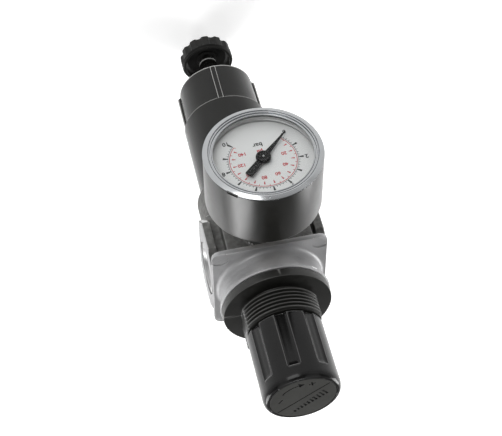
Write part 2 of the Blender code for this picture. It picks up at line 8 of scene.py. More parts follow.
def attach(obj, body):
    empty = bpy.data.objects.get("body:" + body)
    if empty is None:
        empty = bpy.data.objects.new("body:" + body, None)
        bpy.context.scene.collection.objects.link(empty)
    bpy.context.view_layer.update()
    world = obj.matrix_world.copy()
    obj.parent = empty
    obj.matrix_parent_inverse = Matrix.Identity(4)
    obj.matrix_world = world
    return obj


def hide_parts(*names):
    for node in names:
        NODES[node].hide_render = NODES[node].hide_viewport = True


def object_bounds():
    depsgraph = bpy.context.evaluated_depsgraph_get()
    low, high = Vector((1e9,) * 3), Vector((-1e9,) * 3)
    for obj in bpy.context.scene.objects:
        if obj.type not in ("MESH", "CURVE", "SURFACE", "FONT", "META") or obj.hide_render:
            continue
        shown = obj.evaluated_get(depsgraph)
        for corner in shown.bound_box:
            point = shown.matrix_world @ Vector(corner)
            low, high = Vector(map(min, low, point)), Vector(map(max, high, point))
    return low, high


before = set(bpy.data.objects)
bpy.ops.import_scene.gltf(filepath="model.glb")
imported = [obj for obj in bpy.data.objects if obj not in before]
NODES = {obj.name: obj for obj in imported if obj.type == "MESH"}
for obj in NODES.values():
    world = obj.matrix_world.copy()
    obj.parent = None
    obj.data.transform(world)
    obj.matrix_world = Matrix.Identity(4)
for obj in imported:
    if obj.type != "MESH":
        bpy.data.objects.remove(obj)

CAD_LOW, CAD_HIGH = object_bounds()
MM = 0.001

# Lengths are in millimetres and angles in degrees. Heights run along the axis a piece is turned on:
# up for the stack, and forward for the gauge. The camera and the lights are placed in metres.
SHARP_EDGE = 32.0          # faces that meet at more than this keep a crisp edge
SKIN_VOXEL = 0.36          # fineness of the casting's melted skin

DECK_UNDERSIDE = 8.7
SIDE_WALL = 18.0
PORT_FACE = 21.15
SKIRT_START = -13.4
PORT_PITCH = 1.34          # thread in the ports
COLLAR_PITCH = 1.5         # thread of the panel nut on the bonnet
FLAT_HALF_WIDTH = 13.4     # of the two flats across that thread

KNOB_R = 13.85
KNOB_WALL = 12.6           # points farther out than this are on the outer wall
KNOB_TURN = 8.7            # of the first flute, from the front
FLUTES = 8
FLUTE_HALF_ANGLE = 9.8
FLUTE_DEPTH = 0.6
FLUTE_END = 55.4           # height at which the flutes stop below the crown
FLUTE_RUNOUT = 0.5
CROWN_START = 57.5
CROWN_R, CROWN_H = 12.2, 58.2              # centre of the rounding round the knob's end
CROWN_WIDTH, CROWN_RISE = 1.65, 2.85       # and its two half axes
DISC_FACE = 61.05
MARK_FLOOR = 60.85
MARK_TURN = 217            # of the sunk marks, anticlockwise from +X as seen from above

DIAL_FACE = 55.2
PRINT_TOP = 55.23
RED_PRINT_TOP = 55.24      # a little prouder than the black
FIGURE_MIDDLE = 55.215     # halfway between the dial's face and the print's top
DIAL_TURN = 3.5            # of the whole dial, anticlockwise as seen from the front
SCALE_START = -135.0 - DIAL_TURN           # clockwise from straight up
SCALE_SWEEP = 270
POINTER_STOP = 135.0       # anticlockwise from straight up
OUTER_SCALE_R = 11.9
INNER_SCALE_R = 11.4
BAR_FULL_SCALE, PSI_FULL_SCALE = 10, 145
BAR_TICKS, PSI_TICKS = 50, 29              # divisions of each scale
UNIT_SHARE = 1.16667       # where the units stand, straight down on the dial
PUNCH_MARKS = (("a", 83), ("b", 61))       # anticlockwise from +X as seen from the front
PUNCH_R = 19.7
PUNCH_HEIGHT = 59.42
NOTCH_TURN = 43

BOWL_END_R = 14.95
BOWL_WALL = 13.6           # points farther out than this are on the outer wall
BOWL_RIBS = 4
RIB_TURN = 4.5             # of the first rib, from the front
RIB_HALF_WIDTH = 1.2
RIB_FLANK = 0.25
RIB_RISE = 1.05
RIB_TOP = -67.9
RIB_END = -86.3
RIB_RUNOUT = 0.7
BOWL_EDGE = -86.9          # where the side turns into the end
RIB_STEP, RIB_STEPS = 0.42, 13             # spacing and number of points either side of a rib
GAP_STEPS = 28             # spaces between one rib's points and the next rib's
DRAIN_WALL = 9.2           # points farther out than this are on the outer wall
LOBES = 12
LOBE_HALF_ANGLE = 8.6
LOBE_DEPTH = 0.85
LOBE_START = -103.7
LOBE_RUNOUT = 0.5

FLOOR_HALF = 6000.0
FLOOR_THICKNESS = 10
FLOOR_DROP = 6.5           # below the unit, so the lowered bowl stays above the floor
FLOOR_GLOW = 0.40
LENS_IOR = 1.12            # lower than acrylic's, which keeps its reflection faint
CAMERA_LENS = 93.23
CAMERA_PLACE = (0.06432, -0.38701, 0.27774)
LIGHTS = (                 # name, place and aim in metres, size, power, spread
    ("softbox_left", (0.85, 0.85, 0.55), (0.0, -0.02, -0.02), 0.7, 10.0, 180),
    ("softbox_right", (-1.05, 0.60, 0.42), (0.0, -0.02, -0.02), 0.6, 10.0, 180),
    ("softbox_top", (0.0, 0.40, 1.30), (0.0, 0.50, -0.10), 0.5, 1.0, 60),
    ("softbox_front", (0.55, -1.45, 0.40), (0.0, -0.02, -0.02), 0.9, 9.0, 180),
)


# ---------------------------------------------------------------- materials


def link_noise(tree, coords, scale, detail=3.0, stretch=None):
    """A noise texture in object space, in features per metre, stretched along an axis if asked."""
    noise = tree.nodes.new("ShaderNodeTexNoise")
    noise.inputs["Scale"].default_value = scale
    noise.inputs["Detail"].default_value = detail
    source = coords
    if stretch:
        mapping = tree.nodes.new("ShaderNodeMapping")
        mapping.inputs["Scale"].default_value = stretch
        tree.links.new(coords, mapping.inputs["Vector"])
        source = mapping.outputs["Vector"]
    tree.links.new(source, noise.inputs["Vector"])
    return noise.outputs["Fac"]


def to_range(tree, value, low, high, from_low=0.3, from_high=0.7):
    node = tree.nodes.new("ShaderNodeMapRange")
    node.inputs["From Min"].default_value = from_low
    node.inputs["From Max"].default_value = from_high
    node.inputs["To Min"].default_value = low
    node.inputs["To Max"].default_value = high
    tree.links.new(value, node.inputs["Value"])
    return node.outputs["Result"]


def mix_colors(tree, factor, first, second):
    node = tree.nodes.new("ShaderNodeMix")
    node.data_type = "RGBA"
    tree.links.new(factor, node.inputs["Factor"])
    for socket, value in ((node.inputs[6], first), (node.inputs[7], second)):
        if isinstance(value, tuple):
            socket.default_value = (*value, 1.0)
        else:
            tree.links.new(value, socket)
    return node.outputs[2]


def surface(name, dark, light, roughness, metallic=0.0, mottle=90.0, grain=2500.0, bump=0.02,
            stretch=None, wear_and_highlight=None, wear_and_highlight_edge=(0.56, 0.62), specular=0.5, fine=0.0):
    """A material with mottled colour, uneven gloss and fine relief; convex edges are lightened, as
    edge wear and as a painted highlight.
    """
    material = bpy.data.materials.new(name)
    material.use_nodes = True
    tree = material.node_tree
    shader = tree.nodes["Principled BSDF"]
    coords = tree.nodes.new("ShaderNodeTexCoord").outputs["Object"]
    color = mix_colors(tree, to_range(tree, link_noise(tree, coords, mottle), 0, 1), dark, light)
    # Pointiness lightens convex edges: partly edge wear, partly a painted highlight along the
    # edges.
    if wear_and_highlight:
        edges = tree.nodes.new("ShaderNodeNewGeometry").outputs["Pointiness"]
        wear_and_highlight_mask = to_range(tree, edges, 0, 1, *wear_and_highlight_edge)
        color = mix_colors(tree, wear_and_highlight_mask, color, wear_and_highlight)
    tree.links.new(color, shader.inputs["Base Color"])
    gloss = link_noise(tree, coords, mottle * 4, 4.0, stretch)
    tree.links.new(to_range(tree, gloss, roughness[0], roughness[1]), shader.inputs["Roughness"])
    shader.inputs["Metallic"].default_value = metallic
    shader.inputs["Specular IOR Level"].default_value = specular
    relief = tree.nodes.new("ShaderNodeBump")
    relief.inputs["Distance"].default_value = bump * MM
    relief.inputs["Strength"].default_value = 1.0
    tree.links.new(link_noise(tree, coords, grain, 4.0, stretch), relief.inputs["Height"])
    normal = relief.outputs["Normal"]
    if fine:
        second = tree.nodes.new("ShaderNodeBump")
        second.inputs["Distance"].default_value = fine * MM
        tree.links.new(link_noise(tree, coords, grain / 5, 3.0), second.inputs["Height"])
        tree.links.new(normal, second.inputs["Normal"])
        normal = second.outputs["Normal"]
    tree.links.new(normal, shader.inputs["Normal"])
    return material


def lens_material():
    """Clear acrylic: straight through, with a faint reflection by angle."""
    material = bpy.data.materials.new("lens_acrylic")
    material.use_nodes = True
    tree = material.node_tree
    tree.nodes.remove(tree.nodes["Principled BSDF"])
    coords = tree.nodes.new("ShaderNodeTexCoord").outputs["Object"]
    through = tree.nodes.new("ShaderNodeBsdfTransparent")
    through.inputs["Color"].default_value = (0.985, 0.99, 0.99, 1.0)
    gloss = tree.nodes.new("ShaderNodeBsdfGlossy")
    tree.links.new(to_range(tree, link_noise(tree, coords, 300.0), 0.02, 0.05),
                   gloss.inputs["Roughness"])
    fresnel = tree.nodes.new("ShaderNodeFresnel")
    fresnel.inputs["IOR"].default_value = LENS_IOR
    mix = tree.nodes.new("ShaderNodeMixShader")
    tree.links.new(fresnel.outputs["Fac"], mix.inputs["Fac"])
    tree.links.new(through.outputs["BSDF"], mix.inputs[1])
    tree.links.new(gloss.outputs["BSDF"], mix.inputs[2])
    tree.links.new(mix.outputs["Shader"], tree.nodes["Material Output"].inputs["Surface"])
    return material


# Body casting; its near-white edge colour is a painted highlight along the edges, with some edge
# wear.
CAST = surface(
    "cast_metal", (0.33, 0.33, 0.335), (0.43, 0.43, 0.435), (0.42, 0.56), metallic=0.5, mottle=90,
    grain=1900, bump=0.12, fine=0.10, wear_and_highlight=(0.82, 0.82, 0.82), wear_and_highlight_edge=(0.53, 0.60),
)
# Rougher casting below the deck, painted dark as the shade under the deck and in its recesses.
SHADED_ROUGH_CAST = surface(
    "rough_cast_painted_shade", (0.09, 0.09, 0.085), (0.17, 0.17, 0.165), (0.5, 0.7), metallic=0.4, mottle=500,
    grain=1500, bump=0.16, fine=0.2, wear_and_highlight=(0.7, 0.7, 0.7), wear_and_highlight_edge=(0.53, 0.60),
)
PORT_METAL = surface(
    "port_metal", (0.30, 0.30, 0.30), (0.40, 0.40, 0.40), (0.3, 0.4), metallic=0.7, mottle=90,
    grain=900, bump=0.01, wear_and_highlight=(0.75, 0.75, 0.75),
)
MACHINED = surface(
    "machined_metal", (0.72, 0.72, 0.73), (0.80, 0.80, 0.81), (0.22, 0.32), metallic=0.9,
    mottle=60, grain=900, bump=0.01, stretch=(1.0, 6.0, 6.0),
)
# Bonnet plastic; its lighter edge colour is a painted highlight along the edges.
BLACK_PLASTIC = surface(
    "black_plastic", (0.009, 0.009, 0.008), (0.014, 0.014, 0.012), (0.34, 0.44), mottle=120,
    grain=2600, bump=0.006, wear_and_highlight=(0.16, 0.16, 0.155), wear_and_highlight_edge=(0.52, 0.60), specular=0.4,
)
# Bowl plastic; the light colour on its sharpest edges is a painted highlight along the rim, ribs
# and step.
BOWL_BLACK = surface(
    "bowl_black", (0.004, 0.004, 0.0035), (0.007, 0.007, 0.006), (0.20, 0.26), mottle=120,
    grain=2600, bump=0.002, wear_and_highlight=(0.38, 0.38, 0.37), wear_and_highlight_edge=(0.509, 0.526), specular=0.28,
)
# Knob plastic; its lighter edge colour is a painted highlight along the flute edges.
GLOSS_BLACK = surface(
    "gloss_black", (0.003, 0.003, 0.003), (0.005, 0.005, 0.005), (0.16, 0.22), mottle=150,
    grain=2200, bump=0.002, wear_and_highlight=(0.20, 0.20, 0.20), wear_and_highlight_edge=(0.512, 0.55), specular=0.26,
)
DISC_BLACK = surface(
    "disc_black", (0.040, 0.040, 0.037), (0.050, 0.050, 0.046), (0.50, 0.60), mottle=150,
    grain=3000, bump=0.012, specular=0.3,
)
# Gauge case; its slightly lighter edge colour is a painted highlight.
SATIN_BLACK = surface(
    "satin_black", (0.007, 0.007, 0.006), (0.010, 0.010, 0.008), (0.28, 0.32), mottle=120,
    grain=2600, bump=0.002, specular=0.6, wear_and_highlight=(0.10, 0.10, 0.10),
)
# Drain knob; its slightly lighter edge colour is a painted highlight.
MATTE_BLACK = surface(
    "matte_black", (0.006, 0.006, 0.0055), (0.010, 0.010, 0.009), (0.45, 0.6), mottle=200,
    grain=2600, bump=0.03, wear_and_highlight=(0.05, 0.05, 0.048), specular=0.25,
)
NEEDLE_BLACK = surface(
    "needle_black", (0.006, 0.006, 0.006), (0.010, 0.010, 0.010), (0.4, 0.5), mottle=200,
    grain=3000, bump=0.006, specular=0.25,
)
CHROME = surface(
    "chrome", (0.38, 0.39, 0.40), (0.44, 0.45, 0.46), (0.10, 0.16), metallic=1.0, mottle=80,
    grain=1200, bump=0.002, stretch=(1.0, 8.0, 1.0),
)
SPACER = surface(
    "spacer_grey", (0.42, 0.42, 0.42), (0.48, 0.48, 0.48), (0.3, 0.4), metallic=0.3, mottle=100,
    grain=2600, bump=0.005,
)
DIAL = surface(
    "dial_white", (0.66, 0.66, 0.655), (0.69, 0.69, 0.685), (0.4, 0.5), mottle=60, grain=3000,
    bump=0.004,
)
INK_BLACK = surface(
    "ink_black", (0.015, 0.015, 0.015), (0.03, 0.03, 0.03), (0.45, 0.55), mottle=900, grain=3000,
    bump=0.003,
)
INK_RED = surface(
    "ink_red", (0.42, 0.035, 0.045), (0.50, 0.055, 0.06), (0.45, 0.55), mottle=900, grain=3000,
    bump=0.003,
)
BRASS = surface(
    "brass", (0.60, 0.44, 0.19), (0.70, 0.53, 0.25), (0.22, 0.34), metallic=1.0, mottle=120,
    grain=1200, bump=0.01, stretch=(1.0, 1.0, 6.0),
)
DARK_BRASS = surface(
    "dark_brass", (0.20, 0.16, 0.10), (0.28, 0.23, 0.15), (0.35, 0.5), metallic=0.8, mottle=120,
    grain=1200, bump=0.01,
)
STEEL = surface(
    "steel", (0.50, 0.51, 0.52), (0.60, 0.60, 0.60), (0.25, 0.38), metallic=1.0, mottle=120,
    grain=1400, bump=0.01, wear_and_highlight=(0.75, 0.75, 0.75),
)
RUBBER = surface(
    "rubber", (0.012, 0.012, 0.012), (0.02, 0.02, 0.02), (0.6, 0.75), mottle=200, grain=2400,
    bump=0.02,
)
FIBRE = surface(
    "fibre", (0.16, 0.07, 0.05), (0.24, 0.11, 0.08), (0.7, 0.85), mottle=900, grain=1800,
    bump=0.04,
)
NATURAL = surface(
    "natural_plastic", (0.66, 0.65, 0.60), (0.72, 0.71, 0.66), (0.4, 0.5), mottle=100, grain=2400,
    bump=0.01,
)
FILTER = surface(
    "filter_media", (0.70, 0.69, 0.64), (0.86, 0.85, 0.81), (0.85, 0.95), mottle=1800, grain=1500,
    bump=0.12,
)
LENS = lens_material()


# ---------------------------------------------------------------- mesh making


def make_mesh(name, verts, faces, *materials, sharp=SHARP_EDGE):
    """A smooth-shaded mesh from points in millimetres, crisp at edges over the angle."""
    shape = bmesh.new()
    points = [shape.verts.new(Vector(v) * MM) for v in verts]
    for face in faces:
        shape.faces.new([points[i] for i in face])
    bmesh.ops.remove_doubles(shape, verts=shape.verts, dist=1e-8)
    bmesh.ops.recalc_face_normals(shape, faces=shape.faces)
    for face in shape.faces:
        face.smooth = True
    mesh = bpy.data.meshes.new(name)
    shape.to_mesh(mesh)
    shape.free()
    mesh.set_sharp_from_angle(angle=math.radians(sharp))
    for material in materials:
        mesh.materials.append(material)
    obj = bpy.data.objects.new(name, mesh)
    bpy.context.scene.collection.objects.link(obj)
    return obj


def fillet(corners, steps=4):
    """A profile of (radius, height) points, rounded where a third number gives a radius."""
    points = []
    for index, corner in enumerate(corners):
        here = Vector(corner[:2])
        if len(corner) < 3:
            points.append(tuple(here))
            continue
        before = Vector(corners[index - 1][:2])
        after = Vector(corners[(index + 1) % len(corners)][:2])
        back, on = (before - here).normalized(), (after - here).normalized()
        half = math.acos(max(-1.0, min(1.0, back.dot(on)))) / 2
        room = 0.49 * min((before - here).length, (after - here).length)
        reach = min(corner[2] / math.tan(half), room)
        start, end = here + back * reach, here + on * reach
        for k in range(steps + 1):
            t = k / steps
            points.append(tuple((1 - t) ** 2 * start + 2 * t * (1 - t) * here + t ** 2 * end))
    return points


def lathe(name, profile, steps, *materials, forward=False, reshape=None, angles=None,
          sharp=SHARP_EDGE):
    """A profile turned about Z, or about the gauge axis; reshape(x, y, z) may move each point."""
    angles = angles or [math.tau * k / steps for k in range(steps)]
    count = len(angles)
    verts, rows = [], []
    for r, h in profile:
        if r < 1e-9:
            rows.append([len(verts)] * count)
            ring = [(0.0, 0.0, h)]
        else:
            rows.append(list(range(len(verts), len(verts) + count)))
            ring = [(r * math.cos(a), r * math.sin(a), h) for a in angles]
        if reshape:
            ring = [reshape(*p) for p in ring]
        verts += ring
    if forward:
        verts = [(x, -h, y) for x, y, h in verts]
    open_ends = profile[0][0] < 1e-9 and profile[-1][0] < 1e-9
    pairs = list(zip(rows, rows[1:])) + ([] if open_ends else [(rows[-1], rows[0])])
    faces = []
    for low, high in pairs:
        for k in range(count):
            m = (k + 1) % count
            face = [low[k], low[m], high[m], high[k]]
            unique = list(dict.fromkeys(face))
            if len(unique) > 2:
                faces.append(unique)
    return make_mesh(name, verts, faces, *materials, sharp=sharp)


def prism(name, outline, low, high, *materials, axis="Z"):
    """A flat-ended solid from an outline, standing along Z, or along X or the gauge axis."""
    turns = {
        "X": lambda a, b, h: (h, a, b),
        "Y": lambda a, b, h: (a, -h, b),
        "Z": lambda a, b, h: (a, b, h),
    }
    turn = turns[axis]
    count = len(outline)
    verts = [turn(a, b, h) for h in (low, high) for a, b in outline]
    faces = [list(range(count))[::-1], list(range(count, 2 * count))]
    faces += [[k, (k + 1) % count, (k + 1) % count + count, k + count] for k in range(count)]
    return make_mesh(name, verts, faces, *materials)


def circle(radius, count, center=(0.0, 0.0), start=0.0, end=math.tau):
    full = abs(end - start - math.tau) < 1e-9
    steps = count if full else count - 1
    angles = [start + (end - start) * k / steps for k in range(count)]
    return [(center[0] + radius * math.cos(a), center[1] + radius * math.sin(a)) for a in angles]


def hexagon(half_width):
    """An outline of a hexagon, from half its width across flats."""
    return circle(half_width / math.cos(math.pi / 6), 6)


def rounded_box(low, high, radius):
    """An outline of a rectangle with round corners."""
    points = []
    for sx, sy, first in ((1, 1, 0), (-1, 1, 90), (-1, -1, 180), (1, -1, 270)):
        cx = (high[0] if sx > 0 else low[0]) - sx * radius
        cy = (high[1] if sy > 0 else low[1]) - sy * radius
        points += circle(radius, 6, (cx, cy), math.radians(first), math.radians(first + 90))
    return points


def apply_modifiers(obj):
    bpy.context.view_layer.update()
    evaluated = obj.evaluated_get(bpy.context.evaluated_depsgraph_get())
    mesh = bpy.data.meshes.new_from_object(evaluated)
    obj.modifiers.clear()
    obj.data = mesh
    return obj


def combine(obj, others, operation="DIFFERENCE"):
    """Cuts, joins or intersects obj with the others, which are used up."""
    for other in others:
        modifier = obj.modifiers.new(other.name, "BOOLEAN")
        modifier.operation = operation
        modifier.solver = "EXACT"
        modifier.object = other
        modifier.material_mode = "TRANSFER"
    apply_modifiers(obj)
    for other in others:
        bpy.data.objects.remove(other, do_unlink=True)
    return obj


def tidy_shading(obj, sharp=SHARP_EDGE):
    mesh = obj.data
    mesh.polygons.foreach_set("use_smooth", [True] * len(mesh.polygons))
    mesh.set_sharp_from_angle(angle=math.radians(sharp))


def place(piece, body, slot, *nodes):
    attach(piece, body)
    if nodes:
        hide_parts(*nodes)
    return piece


# ---------------------------------------------------------------- body


def body_form():
    """The casting before machining: collar, deck, pads, bosses and skirt, melted into one skin."""
    collar = fillet([(0, 20), (20.3, 20), (20.3, 18.8), (19.5, 16.6), (18.95, 14.4),
                     (18.95, 10.8, 2.4), (31, 10.8), (31, 8.9), (0, 8.9)], 8)
    shoulder = lathe("shoulder_form", collar, 144)
    outline = prism("outline_form", rounded_box((-21, -21), (21, 21), 3.0), 0, 30)
    combine(shoulder, [outline], "INTERSECT")
    boss = [(17.6, 4.3), (13.0, 9.2), (-13.0, 9.2), (-17.6, 4.3), (-17.6, -7.3), (-11.2, -13.7),
            (11.2, -13.7), (17.6, -7.3)]
    forms = [
        prism("core_form", rounded_box((-18.6, -13.8), (18.6, 13.8), 1.0), -13.4, 9.4),
        prism("boss_form_left", boss, -21.4, -18.2, axis="X"),
        prism("boss_form_right", boss, 18.2, 21.4, axis="X"),
        prism("front_pad_form", rounded_box((-16.8, -17.6), (14.7, -13.0), 0.4), -12.5, 9.4),
        prism("rear_pad_form", rounded_box((-14.7, 13.0), (14.7, 17.6), 0.4), -12.5, 9.4),
        prism("gauge_boss_form", circle(8.5, 64), -21, 21, axis="Y"),
        prism("skirt_form", circle(18.9, 128), -30, -11),
    ]
    combine(shoulder, forms, "UNION")
    remesh = shoulder.modifiers.new("skin", "REMESH")
    remesh.mode = "VOXEL"
    remesh.voxel_size = SKIN_VOXEL * MM
    melt = shoulder.modifiers.new("melt", "SMOOTH")
    melt.factor = 0.5
    melt.iterations = 3
    return apply_modifiers(shoulder)


def port_cutter(name, side):
    """The threaded hole, its chamfer and the machined face round it, along X."""
    profile = [(0, 9.5), (5.4, 9.5, 0.3)]
    depth = 10.4
    while depth < 20.0:
        profile += [(5.95, depth), (6.45, depth + 0.65)]
        depth += PORT_PITCH
    profile += [(6.6, 20.0), (7.6, 21.1), (9.3, 21.1), (9.3, 20.7), (9.9, 20.7), (9.9, 24), (0, 24)]
    cutter = lathe(name, fillet(profile, 2), 72, PORT_METAL)
    cutter.data.transform(Matrix.Rotation(side * math.pi / 2, 4, "Y"))
    return cutter


def make_body():
    shell = body_form()
    shell.name = "body_shell"
    shell.data.materials.clear()
    for material in (CAST, SHADED_ROUGH_CAST):
        shell.data.materials.append(material)
    # Faces below the deck, except the port faces, take the dark rough cast: painted shade under the
    # deck.
    for polygon in shell.data.polygons:
        x, y, z = polygon.center / MM
        under_deck_shaded = z < DECK_UNDERSIDE and (abs(x) < SIDE_WALL or z < SKIRT_START)
        side_front_shaded = SIDE_WALL <= abs(x) < PORT_FACE and z < DECK_UNDERSIDE
        polygon.material_index = 1 if under_deck_shaded or side_front_shaded else 0
    bore = [(0, -32), (17.4, -32), (16.8, -29.4), (16.8, -17), (12.5, -17), (12.5, -9.5),
            (5.5, -9.5), (5.5, 3.5), (7.3, 3.5), (7.3, 8.1), (14.0, 8.1), (14.0, 15.6),
            (17.3, 15.6), (17.3, 22), (0, 22)]
    passages = [
        prism("inlet_passage", circle(3.0, 24, (-12.5, 0)), -18.5, 0.4, MACHINED),
        prism("outlet_passage", circle(2.4, 24, (11.2, 0)), 0.4, 9.1, MACHINED),
    ]
    gauge_hole = [(0, 9), (5.1, 9), (5.1, 20.2), (5.9, 20.9), (5.9, 23), (0, 23)]
    rear_hole = lathe("rear_hole", gauge_hole, 48, MACHINED, forward=True)
    rear_hole.data.transform(Matrix.Rotation(math.pi, 4, "Z"))
    cutters = [
        lathe("bore", bore, 96, MACHINED),
        port_cutter("inlet_port", -1),
        port_cutter("outlet_port", 1),
        lathe("front_hole", gauge_hole, 48, MACHINED, forward=True),
        rear_hole,
    ]
    pads = [prism(f"corner_pad_{sx}_{sy}", circle(3.5, 48, (sx * 18.4, sy * 18.4)), 10.5, 14, CAST)
            for sx in (-1, 1) for sy in (-1, 1)]
    combine(shell, [*cutters, *passages, *pads])
    tidy_shading(shell, 40)
    place(shell, "housing", "cast_metal", "body")


# ---------------------------------------------------------------- bonnet and knob


def make_bonnet():
    profile = [(4.6, 51.0), (10.9, 51.0, 0.3), (11.5, 50.4, 0.3), (11.5, 33.8)]
    for turn in reversed(range(6)):
        low = 24.8 + turn * COLLAR_PITCH
        profile += [(14.1, low + 1.32), (14.1, low + 1.12), (15.0, low + 0.72), (15.0, low + 0.42)]
    profile += [(14.3, 24.9), (13.2, 24.6), (13.2, 23.3, 0.3), (19.9, 23.3, 0.25),
                (20.0, 20.3, 0.2), (17.0, 20.3), (17.0, 15.9), (10.2, 15.9), (10.2, 48.3),
                (4.6, 48.3)]

    def flats(x, y, z):
        if 23.9 < z < 34.5:
            x = max(-FLAT_HALF_WIDTH, min(FLAT_HALF_WIDTH, x))
        return x, y, z

    shell = lathe("bonnet_shell", fillet(profile, 3), 200, BLACK_PLASTIC, reshape=flats, sharp=38)
    place(shell, "housing", "black_plastic", "bonnet")


def fluted_angles(count, phase, half_width, per_flute):
    """Angles round a fluted wall, closely spaced in each flute and crisp at its edges."""
    angles = []
    for index in range(count):
        middle = phase + math.tau * index / count
        angles += [middle + half_width * k / per_flute for k in range(-per_flute, per_flute + 1)]
        land = math.tau / count - 2 * half_width
        edge = 0.06 * half_width
        angles += [middle + half_width + edge]
        angles += [middle + half_width + land * k / 6 for k in range(1, 6)]
        angles += [middle + half_width + land - edge]
    return angles


KNOB_PHASE = math.radians(KNOB_TURN - 90)


def make_knob():
    half_width = math.radians(FLUTE_HALF_ANGLE)
    half_pitch = math.pi / FLUTES

    def flute(x, y, z):
        r, a = math.hypot(x, y), math.atan2(y, x)
        if r < KNOB_WALL or z > CROWN_START:
            return x, y, z
        off = (a - KNOB_PHASE + half_pitch) % (2 * half_pitch) - half_pitch
        inside = max(0.0, 1 - (off / half_width) ** 4)
        fade = math.sqrt(max(0.0, min(1.0, (FLUTE_END - z) / FLUTE_RUNOUT)))
        r2 = r - FLUTE_DEPTH * inside * fade
        return r2 * math.cos(a), r2 * math.sin(a), z

    profile = fillet([(0, 53.0), (11.9, 53.0), (11.9, 34.1), (13.75, 34.1, 0.25), (13.8, 34.6)], 3)
    profile += [(13.82, 35.2), (13.84, 45.0), (KNOB_R, 53.6)]
    profile += [(KNOB_R, 54.9 + 0.05 * k) for k in range(11)]
    profile += [(KNOB_R, 55.6), (KNOB_R, 57.0), (KNOB_R, 58.0)]
    for k in range(1, 12):
        t = math.radians(90 * k / 12)
        profile.append((CROWN_R + CROWN_WIDTH * math.cos(t), CROWN_H + CROWN_RISE * math.sin(t)))
    profile += fillet([(CROWN_R, 61.07), (12.05, 61.07, 0.05), (11.95, 60.6, 0.05), (11.8, 60.3),
                       (0, 60.3)], 3)
    key_hole = prism("hex_socket", hexagon(3.8), 50, 57.6)
    angles = fluted_angles(FLUTES, KNOB_PHASE, half_width, per_flute=16)
    shell = lathe("knob_shell", profile, 0, GLOSS_BLACK, reshape=flute, angles=angles, sharp=40)
    combine(shell, [key_hole])
    tidy_shading(shell, 40)
    place(shell, "knob", "gloss_black", "adjusting_knob")
    face = fillet([(0, DISC_FACE), (11.75, DISC_FACE, 0.2), (11.8, 60.3), (0, 60.3)], 4)
    disc = lathe("knob_disc", face, 128, DISC_BLACK)
    combine(disc, knob_marks())
    tidy_shading(disc, 15)
    place(disc, "knob", "satin_black", "knob_end_disc")


def stroke(points, width):
    """The outline of a line of even width along points."""
    left, right = [], []
    for index, point in enumerate(points):
        here = Vector(point)
        before = Vector(points[max(index - 1, 0)])
        after = Vector(points[min(index + 1, len(points) - 1)])
        along = (after - before).normalized()
        side = Vector((-along.y, along.x)) * width / 2
        left.append(tuple(here + side))
        right.append(tuple(here - side))
    return left + right[::-1]


def knob_marks():
    """Cutters for the sunk marks: a line, a curved arrow with minus and plus, and rising bars."""
    turn = math.radians(MARK_TURN)
    c, s = math.cos(turn), math.sin(turn)
    shapes = [
        stroke([(-11.3, 0), (11.3, 0)], 0.35),
        stroke(circle(8.6, 14, (0, 0), math.radians(112), math.radians(64)), 0.45),
        [(3.3, 6.9), (5.6, 6.9), (4.2, 9.1)],
        stroke([(-7.3, 4.6), (-5.0, 5.6)], 0.45),
        stroke([(6.2, 5.4), (8.4, 4.4)], 0.45),
        stroke([(6.8, 3.9), (7.8, 6.0)], 0.45),
    ]
    for index in range(10):
        a, top = -6.9 + index * 1.53, -3.9 + 0.24 * index
        shapes.append([(a - 0.4, -5.0), (a + 0.4, -5.0), (a + 0.4, top), (a - 0.4, top)])
    marks = []
    for index, points in enumerate(shapes):
        outline = [(a * c - b * s, a * s + b * c) for a, b in points]
        marks.append(prism(f"mark_{index}", outline, MARK_FLOOR, 61.3, GLOSS_BLACK))
    return marks


# ---------------------------------------------------------------- gauge


def make_gauge_case():
    profile = fillet([(18.2, 57.8), (19.6, 57.8), (19.6, 58.6), (20.4, 58.6, 0.2),
                      (20.4, 35.7, 1.1), (9.0, 35.7, 0.4), (8.4, 36.1, 0.3), (6.0, 36.1),
                      (6.0, 37.2), (18.2, 37.2)], 5)
    shell = lathe("case_shell", profile, 160, SATIN_BLACK, forward=True)
    combine(shell, [notch_cutter("case_notch", 57.9, 59.0)])
    tidy_shading(shell)
    place(shell, "housing", "satin_black", "gauge_case")


def notch_cutter(name, low, high):
    """A short slot at the rim, where a blade lifts the ring off."""
    outline = [(-2.1, 20.0), (2.1, 20.0), (2.1, 21.5), (-2.1, 21.5)]
    notch = prism(name, outline, low, high, SATIN_BLACK, axis="Y")
    notch.data.transform(Matrix.Rotation(math.radians(NOTCH_TURN), 4, "Y"))
    return notch


